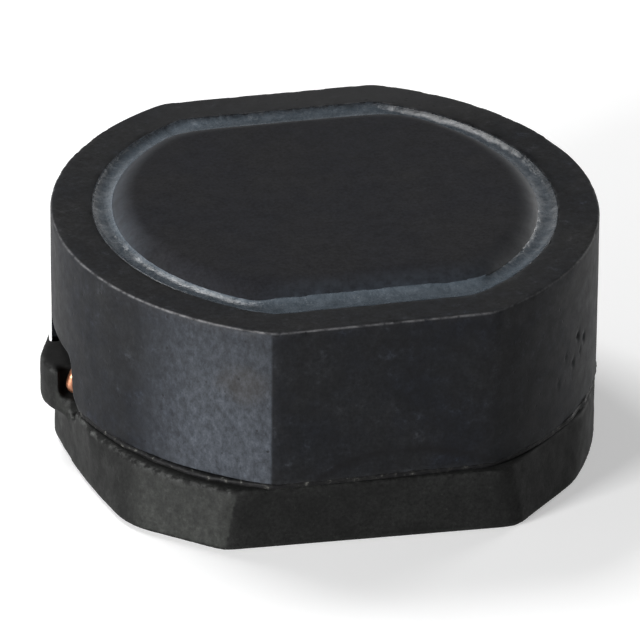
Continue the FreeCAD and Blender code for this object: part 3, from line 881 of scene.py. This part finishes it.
drum = {
    "outer": (4.84, 4.33),          # mm, end and flat
    "crown": (4.37, 3.86),
    "foot": 1.62,
    "windowFoot": 2.42,
    "windowTop": 4.64,
    "slopeFoot": 5.47,
    "top": 5.74,
    "postRadius": 2.40,
    "crisp": 60,
    "postCrisp": 400,               # round
    "crownCrisp": 14,               # soft corners round the crown's plateau
    "steps": 480,
    "edge": 0.04,
    "footInset": 0.5,
    "rimHeight": 0.1,               # upright rim under the slope
    "slopeStops": 14,
    "slopeSoft": 1.7,               # a larger one makes a rounder shoulder
    "slopeBow": 0.12,
    "plateauInset": 0.05,
    "plateau": (0.1, 0.6, 1.5, 2.6),     # stops across the crown's top
    "dent": 0.012,
    "dentSize": 0.9,
    "filmFade": 0.7,
}
filmRound = [
    # angle from +X in degrees, how much resin has crept up there
    (0, 0.8), (30, 0.6), (90, 0.5), (140, 0.9), (188, 1.0), (202, 0.10), (238, 0.0), (250, 0.75),
    (300, 0.75), (320, 0.4), (345, 0.7), (360, 0.8),
]


def slopeStop(share):
    # a nearly straight slope with a soft shoulder at its top, share of the way up
    outEnd, outFlat = drum["outer"]
    inEnd, inFlat = drum["crown"]
    rise = 1 - (1 - share) ** drum["slopeSoft"]
    level = drum["slopeFoot"] + (drum["top"] - drum["slopeFoot"]) * rise
    inward = share * (1 + drum["slopeBow"] * share)
    crisp = drum["crisp"] + (drum["crownCrisp"] - drum["crisp"]) * share ** 0.5
    return outEnd + (inEnd - outEnd) * inward, outFlat + (inFlat - outFlat) * inward, level, crisp


def drumStops():
    outEnd, outFlat = drum["outer"]
    inEnd, inFlat = drum["crown"]
    crisp, edge, foot, inset = drum["crisp"], drum["edge"], drum["foot"], drum["footInset"]
    post, postCrisp = drum["postRadius"], drum["postCrisp"]
    windowFoot, windowTop = drum["windowFoot"], drum["windowTop"]
    stops = [(outEnd - inset, outFlat - inset, foot, crisp), (outEnd - edge, outFlat - edge, foot, crisp)]
    stops += [(outEnd, outFlat, foot + edge, crisp), (outEnd, outFlat, windowFoot, crisp)]
    stops += [(post, post, windowFoot, postCrisp), (post, post, windowTop, postCrisp)]
    stops.append((outEnd, outFlat, windowTop, crisp))
    stops.append((outEnd, outFlat, drum["slopeFoot"] - drum["rimHeight"], crisp))
    stops += [slopeStop(n / drum["slopeStops"]) for n in range(drum["slopeStops"] + 1)]
    inEnd, inFlat = inEnd - drum["plateauInset"], inFlat - drum["plateauInset"]
    for inset in drum["plateau"]:
        stops.append((inEnd - inset, inFlat - inset, drum["top"], drum["crownCrisp"]))
    return stops


def filmAt(vert):
    # how thick the resin lies on the sloped edge, thinning out towards its top
    low, high = drum["slopeFoot"], drum["top"]
    if vert.co.z < low - 0.01:
        return 0
    share = along(filmRound, degreesOf(vert.co))
    return share * max(0, 1 - (vert.co.z - low) / (high - low)) ** drum["filmFade"]


def makeDrum():
    bm = sweep(drumStops(), drum["steps"], closed=False)
    markVerts(bm, "film", filmAt)
    for vert in bm.verts:
        if vert.co.z > drum["slopeFoot"]:
            vert.co.z -= drum["dent"] * swell(vert.co, drum["dentSize"])
    place(bm, "drumCore", "drum_core", finishes["drum_core"])


makeDrum()
print("drum made")


# Potting: a ring of resin that climbs a little at both edges

potting = {
    "foot": 4.79,
    "top": 5.485,
    "dip": 0.10,                    # mm below its climbing edges
    "intoRing": 0.02,               # mm
    "intoDrum": 0.03,
    "across": 16,
    "steps": 960,
    "ripple": 0.018,
    "rippleSize": 0.5,
    "rippleMost": 0.2,              # its lumps are cut low, so that it is mostly dimpled
    "darkerWidth": 0.16,               # mm in from the ring
    "darkerFront": 0.5,               # how strong the darkening is at the front, against 1 at the back
}


def pottingStops():
    outEnd, outFlat = ring["bore"]
    inEnd, inFlat = drum["outer"]
    outEnd, outFlat = outEnd + potting["intoRing"], outFlat + potting["intoRing"]
    inEnd, inFlat = inEnd - potting["intoDrum"], inFlat - potting["intoDrum"]
    foot, top, across = potting["foot"], potting["top"], potting["across"]
    stops = [(outEnd, outFlat, foot, ring["crisp"])]
    for n in range(across + 1):
        share = n / across
        rise = potting["dip"] * (1 - (2 * share - 1) ** 2)
        end = outEnd + (inEnd - outEnd) * share
        flat = outFlat + (inFlat - outFlat) * share
        stops.append((end, flat, top - rise, ring["crisp"] + (drum["crisp"] - ring["crisp"]) * share))
    return stops + [(inEnd, inFlat, foot, drum["crisp"])]


def darkerEdgeAt(vert):
    # darker against the ring, most at the back
    spot = vert.co
    angle = math.atan2(spot.y, spot.x)
    inside = reach(angle, *ring["bore"], ring["crisp"]) - math.hypot(spot.x, spot.y)
    half = (1 - potting["darkerFront"]) / 2
    side = 1 - half + half * math.sin(angle)
    return side * max(0, 1 - inside / potting["darkerWidth"])


def makePotting():
    bm = sweep(pottingStops(), potting["steps"], closed=True)
    markVerts(bm, "darkerEdge", darkerEdgeAt)
    for vert in bm.verts:
        if vert.co.z > potting["foot"] + 0.01:
            lump = lumpy(vert.co, potting["rippleSize"], 0.9)
            vert.co.z += potting["ripple"] * max(-1, min(potting["rippleMost"], lump))
    place(bm, "topPotting", "top_potting", finishes["top_potting"])


makePotting()
print("potting made")


# Base: the moulded part's own shape, softened, with its rim drawn in at the left corner

base = {
    "voxel": 0.07,                  # mm, grid of the finer mesh
    "smoothing": 2,
    "lugSmoothing": 7,
    "lugFace": 6.05,                # mm, the left lug's outer face lies beyond it
    "lugHalf": 1.3,
    "shadeFoot": 1.75,              # mm, above it only the lugs' tops are left
    "wobble": 0.02,
    "wobbleSize": 0.5,
    "wobbleFoot": 0.2,
    "rim": 1.57,
    "rimAway": 5.9,
    "foot": 0.05,
    "liftBow": 1.5,                 # a larger one keeps the foot in its place further up
    "highlightWay": (-0.9, -0.43),       # edges that face this way, towards the left lamp, get the most painted highlight
    "wornLeast": 0.1,
}
rimPull = [
    # angle from +X in degrees, how far the rim moves out at its top, mm
    (190, 0.0), (200, 0.03), (204, 0.04), (208, -0.06), (213, -0.17), (217, -0.20), (221, -0.17),
    (225, -0.08), (228, 0.0), (232, 0.05), (237, 0.04), (241, 0.0), (250, 0.0),
]


def relax(bm, verts, rounds):
    for _ in range(rounds):
        bmesh.ops.smooth_vert(bm, verts=verts, factor=0.5, use_axis_x=True, use_axis_y=True, use_axis_z=True)
    bm.normal_update()


def skinOf(node, voxel, smoothing):
    # a finer copy of a part in mm: doubles merged, remeshed and relaxed
    source = nodes[node].data.copy()
    bm = bmesh.new()
    bm.from_mesh(source)
    bmesh.ops.scale(bm, vec=(1 / mm,) * 3, verts=bm.verts)
    bmesh.ops.remove_doubles(bm, verts=bm.verts, dist=0.0005)
    bm.to_mesh(source)
    bm.free()
    rough = bpy.data.objects.new(node + "Rough", source)
    scene.collection.objects.link(rough)
    remesh = rough.modifiers.new("remesh", "REMESH")
    remesh.mode = "VOXEL"
    remesh.voxel_size = voxel
    shape = bpy.data.meshes.new_from_object(rough.evaluated_get(bpy.context.evaluated_depsgraph_get()))
    bpy.data.objects.remove(rough)
    bm = bmesh.new()
    bm.from_mesh(shape)
    relax(bm, bm.verts, smoothing)
    return bm


# rubbed edges and their painted highlight, on upward faces only
def baseWearAndHighlight(vert):
    return wearAndHighlightAt(vert, base["highlightWay"], base["wornLeast"]) if vert.normal.z > 0 else 0


def paintedShadeAt(vert):
    # painted shade on the lugs' tops, in the shadow under the ring's notch
    onLug = vert.co.z > base["shadeFoot"] and abs(vert.co.y) < base["lugHalf"]
    return max(0, vert.normal.z) if onLug else 0


def rimMove(spot):
    # out or in as the table says, less towards the foot
    foot, rim = base["foot"], base["rim"]
    if math.hypot(spot.x, spot.y) <= base["rimAway"] or spot.z >= rim + 0.01:
        return Vector((0, 0, 0))
    lift = max(0, (spot.z - foot) / (rim - foot)) ** base["liftBow"]
    return outward(spot, along(rimPull, degreesOf(spot)) * lift)


def makeBase():
    bm = skinOf("moulded_base", base["voxel"], base["smoothing"])
    lugFace = [v for v in bm.verts if v.co.x < -base["lugFace"] and abs(v.co.y) < base["lugHalf"]]
    relax(bm, lugFace, base["lugSmoothing"])
    markVerts(bm, "wearAndHighlight", baseWearAndHighlight)
    markVerts(bm, "paintedHighlight", lambda vert: paintedHighlightAt(vert, base["foot"], base["rim"]))
    markVerts(bm, "paintedShade", paintedShadeAt)
    for vert in bm.verts:
        spot = vert.co + rimMove(vert.co)
        if spot.z > base["wobbleFoot"]:
            uneven = 0.5 + 0.5 * lumpy(spot, base["wobbleSize"], 0.9, 3)
            spot -= vert.normal * base["wobble"] * uneven
        vert.co = [max(low / mm, min(high / mm, at)) for at, low, high in zip(spot, *cadBox)]
    place(bm, "mouldedBase", "moulded_base", finishes["moulded_base"], turn=0)


makeBase()
print("base made")


# Glue that was pressed out along the ring's foot

glue = {
    "seam": 1.62,                   # mm, level of the ring's foot
    "levels": (-0.07, -0.05, -0.02, 0.01, 0.05, 0.09, 0.12),   # mm from the seam
    "inset": 0.03,                  # mm in from the ring's wall
    "backInset": 0.12,
    "backLevels": (-0.04, 0.12),
    "middle": 0.025,                # mm, the bulge's middle above the seam
    "half": 0.10,
    "proud": 0.035,                 # how far a plain bead stands out
    "waver": 0.02,
    "least": 0.004,
    "waverRound": 0.6,              # lumps to a degree
    "waverUp": 9,
    "flatness": 0.6,                # height of a bead that stands out 0, and its growth for each mm
    "fullness": 4,
    "clear": 1.66,                  # half width kept free at the lead notches
    "steps": 720,
}
lumps = [
    # angle from +X in degrees in the ring's frame, spread in degrees, how far it stands out, mm
    (212, 4, 0.05), (222, 5, 0.09), (229, 3, 0.10), (233, 2.5, 0.11), (237, 3, 0.09), (241, 2.5, 0.045),
    (246, 3, 0.03), (318, 3, 0.05), (326, 2, 0.06),
]


def beadAt(degrees, height):
    way = Vector((degrees * glue["waverRound"], height * glue["waverUp"], 0))
    out = glue["proud"] + glue["waver"] * lumpy(way, 1, 0.8)
    for centre, spread, stand in lumps:
        out += stand * math.exp(-((degrees - centre) / spread) ** 2)
    return max(glue["least"], out)


def glueStops():
    outEnd, outFlat = ring["outer"]
    seam, inset, backInset = glue["seam"], glue["inset"], glue["backInset"]
    stops = [(outEnd - inset, outFlat - inset, seam + level, ring["crisp"]) for level in glue["levels"]]
    under, over = [(outEnd - backInset, outFlat - backInset, seam + level, ring["crisp"])
                   for level in glue["backLevels"]]
    return [under, *stops, over]


def makeGlue():
    seam = glue["seam"]
    bm = sweep(glueStops(), glue["steps"], closed=True)
    for vert in bm.verts:
        spot = vert.co.copy()
        height = (spot.z - seam - glue["middle"]) / glue["half"]
        bulge = max(0, 1 - height * height)
        out = beadAt(degreesOf(spot), height) * bulge ** 0.5
        spot += outward(spot, out)
        spot.z = seam + (spot.z - seam) * (glue["flatness"] + glue["fullness"] * out)
        vert.co = spot
    gone = [v for v in bm.verts if abs(v.co.y) < glue["clear"]]
    bmesh.ops.delete(bm, geom=gone, context="VERTS")
    bmesh.ops.holes_fill(bm, edges=[e for e in bm.edges if e.is_boundary], sides=0)
    bmesh.ops.recalc_face_normals(bm, faces=bm.faces)
    place(bm, "pressedGlue", None, finishes["ring_bond"])


makeGlue()
print("glue made")
